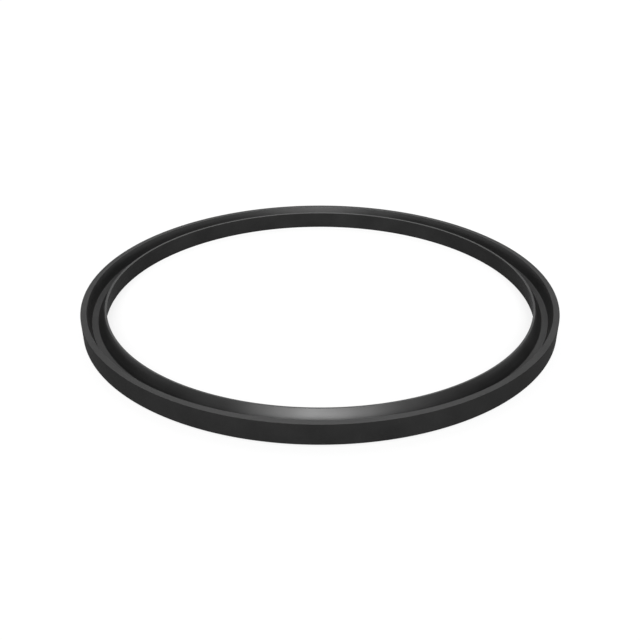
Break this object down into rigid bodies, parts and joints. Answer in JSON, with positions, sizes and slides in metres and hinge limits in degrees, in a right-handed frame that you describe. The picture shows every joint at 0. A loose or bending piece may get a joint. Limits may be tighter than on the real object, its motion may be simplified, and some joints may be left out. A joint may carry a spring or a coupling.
{
  "type": "lip seal",
  "caption": "Black rubber rod seal: a flat-topped outer rim and a slightly lower, leaning inner lip with a square-trimmed tip stand either side of a deep groove.",
  "frame": {"origin": "centre of the ring at the heel's flat face", "axes": "+Z along the ring's axis, from the heel towards the open groove and the lip's tip"},
  "size_m": [0.2, 0.2, 0.0092],
  "materials": {
    "rubber": "satin moulded black rubber"
  },
  "bodies": {
    "root": {"lip_seal": "rubber"}
  },
  "joints": []
}
